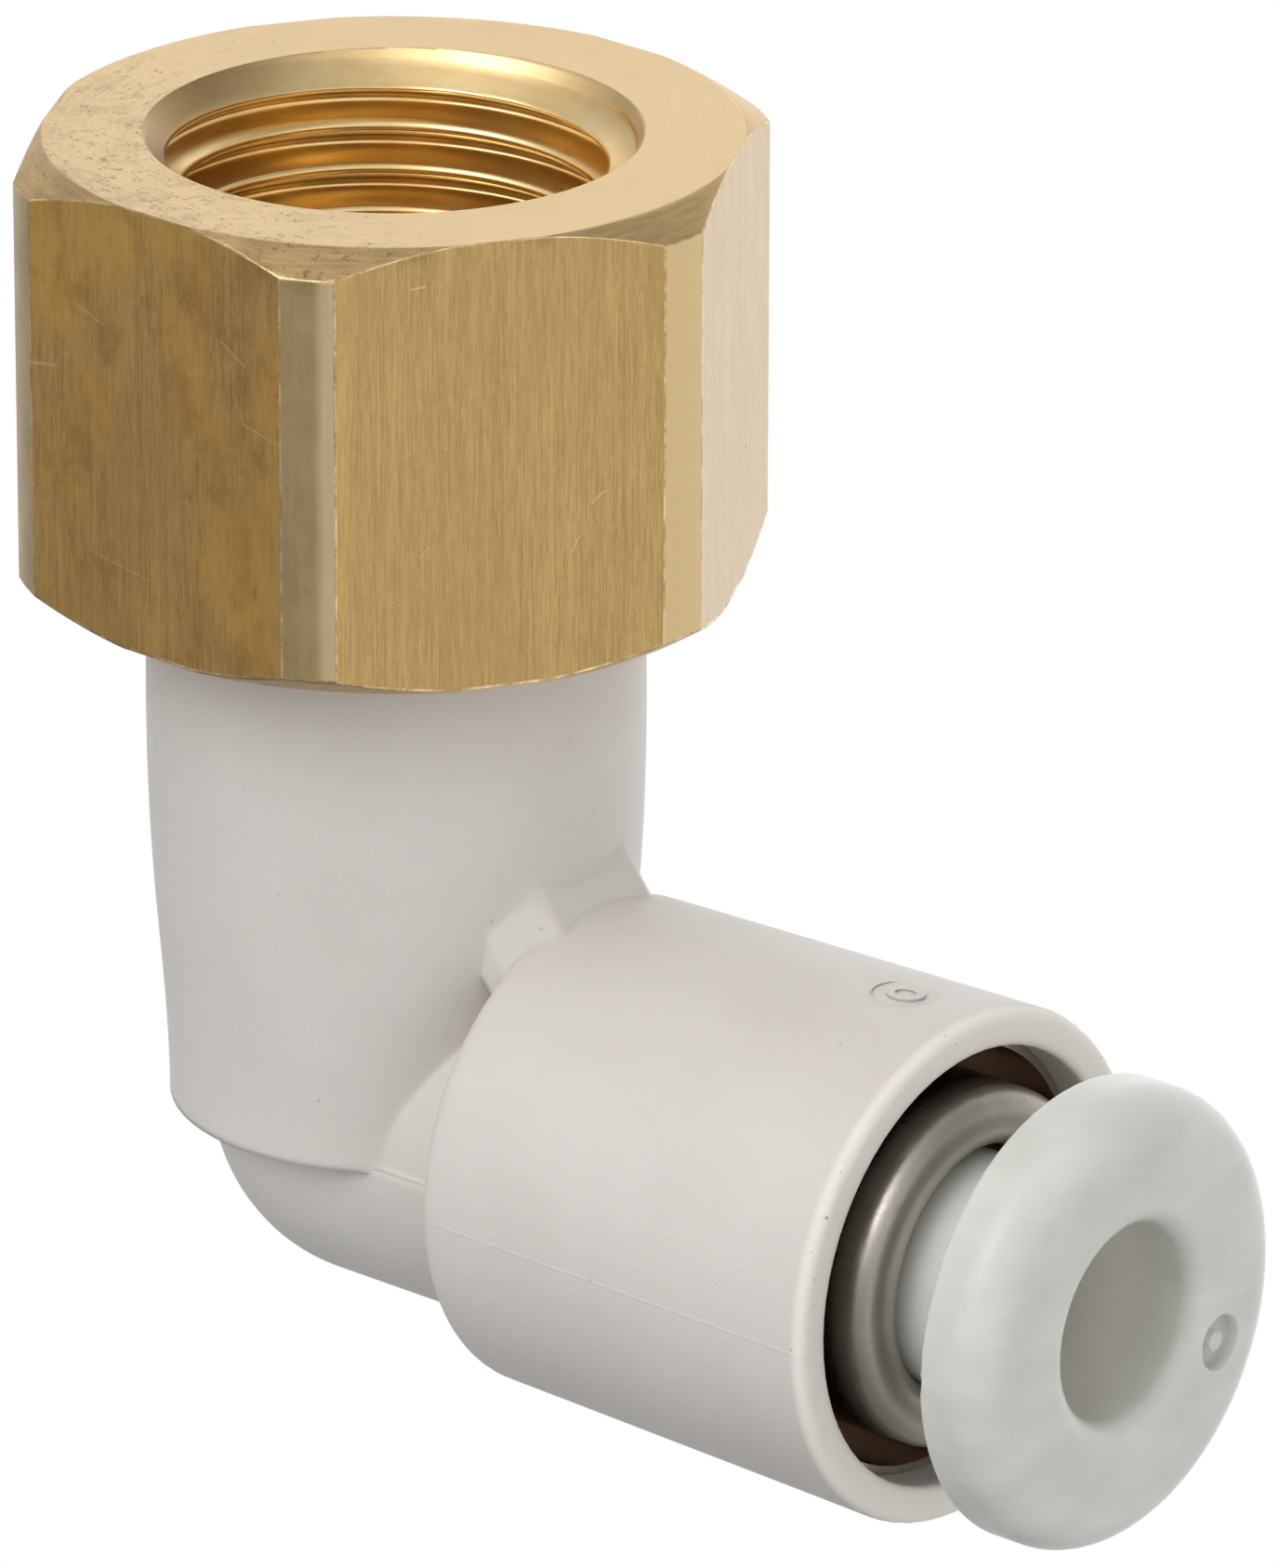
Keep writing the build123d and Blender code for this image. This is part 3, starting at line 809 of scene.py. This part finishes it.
# ---------------------------------------------------------------- finishes of the CAD pieces
finishes = {
    "stem_o_ring": rubber(),
    "elbow_body": body_plastic(),
    "tube_seal": rubber(),
    "collet": collet_plastic(),
    "chuck": spring_steel(),
    "guide": satin_steel(),
    "release_button": button_plastic(),
}
for name, finish in finishes.items():
    for material_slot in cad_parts[name].material_slots:
        material_slot.material = finish

# ---------------------------------------------------------------- camera
camera_turn = math.radians(40.1592)
camera_rise = math.radians(21.9541)
camera_roll = math.radians(0.1648)
camera_place = Vector((167.436, -190.749, 88.187 + port_face)) * MM

back = Vector(
    (
        math.sin(camera_turn) * math.cos(camera_rise),
        -math.cos(camera_turn) * math.cos(camera_rise),
        math.sin(camera_rise),
    )
)
right = Vector((math.cos(camera_turn), math.sin(camera_turn), 0))
up = back.cross(right)
rolled_right = right * math.cos(camera_roll) + up * math.sin(camera_roll)
rolled_up = up * math.cos(camera_roll) - right * math.sin(camera_roll)
camera_data = bpy.data.cameras.new("camera")
camera_data.sensor_fit = "HORIZONTAL"
camera_data.sensor_width = 36
camera_data.lens = 377.78
camera_data.clip_start = 0.01
camera = bpy.data.objects.new("camera", camera_data)
bpy.context.scene.collection.objects.link(camera)
camera.matrix_world = Matrix.Translation(camera_place) @ Matrix(
    (rolled_right, rolled_up, back)
).transposed().to_4x4()
bpy.context.scene.camera = camera

# ---------------------------------------------------------------- studio
floor_half = 1.5  # metres
floor_gap = 0.02 * MM
floor_z = cad_box[0].z - floor_gap
floor_corners = [
    (x * floor_half, y * floor_half, floor_z) for x, y in ((-1, -1), (1, -1), (1, 1), (-1, 1))
]
floor_mesh = bpy.data.meshes.new("floor")
floor_mesh.from_pydata(floor_corners, [], [(0, 1, 2, 3)])
floor = bpy.data.objects.new("floor", floor_mesh)
bpy.context.scene.collection.objects.link(floor)

# Soft lights of the studio: the direction each comes from, as degrees to the right of the
# camera and degrees up, how tightly it is gathered, and how strong it is
soft_lights = (
    ("key", -25, 50, 3, 0.56),
    ("softbox", -45, 43, 20, 3.60),
    ("left_front", -45, 10, 4, 0.20),
    ("right_front", 35, 5, 4, 0.72),
    ("left", -90, 15, 4, 0.52),
    ("right", 90, 5, 4, 0.08),
    ("right_back", 130, -5, 4, 0.52),
    ("back", 180, 5, 5, 1.00),
    ("back_high", 180, 50, 4, 0.24),
    ("top", 0, 85, 3, 0.08),
    ("low_right", 60, -25, 4, 0.44),
    ("low_back", 160, -25, 4, 0.60),
    ("low_front", 0, -45, 6, 0.15),
)
even_light = 0.04


def light_direction(aside, rise):
    """Unit vector towards a light that is aside to the camera's right and rise up, in degrees."""
    aside, rise = math.radians(aside), math.radians(rise)
    flat_back = Vector((back.x, back.y, 0)).normalized()
    flat = flat_back * math.cos(aside) + right * math.sin(aside)
    return flat * math.cos(rise) + UP * math.sin(rise)


def soft_tent(tree, direction):
    """Brightness of the studio in a direction: the sum of its soft lights."""
    total = even_light
    for name, aside, rise, gathered, strength in soft_lights:
        dot = tree.nodes.new("ShaderNodeVectorMath")
        dot.operation = "DOT_PRODUCT"
        dot.label = name
        tree.links.new(direction, dot.inputs[0])
        dot.inputs[1].default_value = light_direction(aside, rise)
        below_peak = math_node(tree, "SUBTRACT", dot.outputs["Value"], 1.0)
        falloff = math_node(tree, "EXPONENT", math_node(tree, "MULTIPLY", below_peak, gathered))
        total = math_node(tree, "ADD", math_node(tree, "MULTIPLY", falloff, strength), total)
    return total


# The backdrop is white to the camera, and lights the object as the tent does
world = bpy.data.worlds.new("tent")
world.use_nodes = True
bpy.context.scene.world = world
world_tree = world.node_tree
world_place = world_tree.nodes.new("ShaderNodeTexCoord").outputs["Generated"]
world_shader = world_tree.nodes["Background"]
world_shader.inputs["Color"].default_value = (1, 1, 1, 1)
world_path = world_tree.nodes.new("ShaderNodeLightPath")
world_pick = world_tree.nodes.new("ShaderNodeMix")
world_tree.links.new(world_path.outputs["Is Camera Ray"], world_pick.inputs[0])
world_tree.links.new(soft_tent(world_tree, world_place), world_pick.inputs[2])
world_pick.inputs[3].default_value = 1.0
world_tree.links.new(world_pick.outputs[0], world_shader.inputs["Strength"])

# The floor is a lit white sheet, which lets the tent's light from below through
floor_material = bpy.data.materials.new("floor")
floor_material.use_nodes = True
floor_tree = floor_material.node_tree
floor_tree.nodes.remove(floor_tree.nodes["Principled BSDF"])
floor_white = floor_tree.nodes.new("ShaderNodeEmission")
floor_clear = floor_tree.nodes.new("ShaderNodeBsdfTransparent")
floor_path = floor_tree.nodes.new("ShaderNodeLightPath")
floor_mix = floor_tree.nodes.new("ShaderNodeMixShader")
floor_tree.links.new(floor_path.outputs["Is Camera Ray"], floor_mix.inputs[0])
floor_tree.links.new(floor_clear.outputs[0], floor_mix.inputs[1])
floor_tree.links.new(floor_white.outputs[0], floor_mix.inputs[2])
floor_tree.links.new(floor_mix.outputs[0], floor_tree.nodes["Material Output"].inputs["Surface"])
floor_mesh.materials.append(floor_material)

bpy.context.scene.view_settings.view_transform = "Standard"
bpy.context.scene.view_settings.look = "None"
